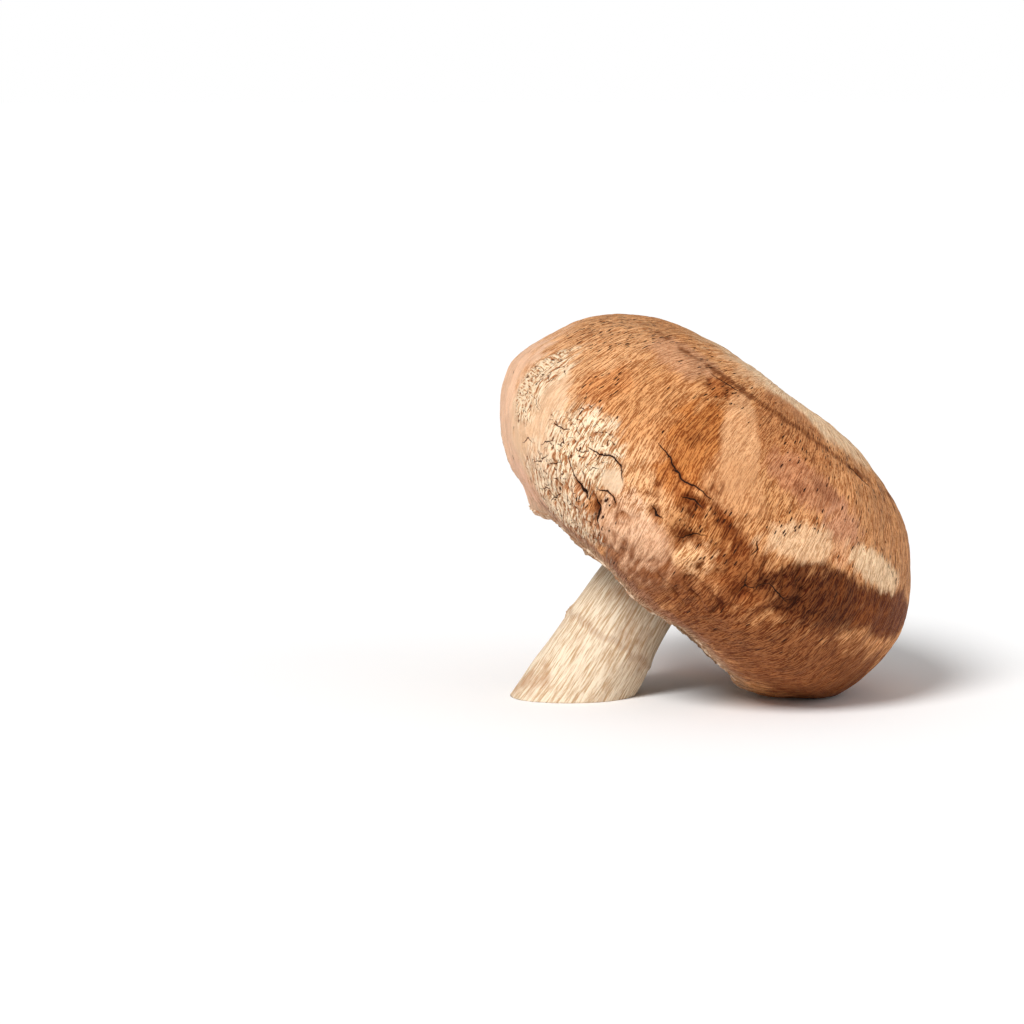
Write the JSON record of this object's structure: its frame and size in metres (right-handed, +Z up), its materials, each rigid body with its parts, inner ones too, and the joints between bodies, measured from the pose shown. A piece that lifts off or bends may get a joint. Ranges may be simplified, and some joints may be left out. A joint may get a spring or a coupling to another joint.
{
  "type": "portobello mushroom",
  "caption": "Whole portobello mushroom with a thick domed brown cap, inrolled margin, dark gills and a cut stem, lying gill side down on the stem and the side of the cap.",
  "frame": {"origin": "middle of the bounding box at its base, on the surface that the mushroom rests on", "axes": "+Z up; the crown leans towards +X and the cut stem stands towards -X; -Y is the side that the reference view sees"},
  "size_m": [0.1098, 0.124, 0.1016],
  "materials": {
    "cap_skin": "satin",
    "gills": "matte",
    "stem": "matte"
  },
  "bodies": {
    "root": {"mushroom": "cap_skin"}
  },
  "joints": []
}
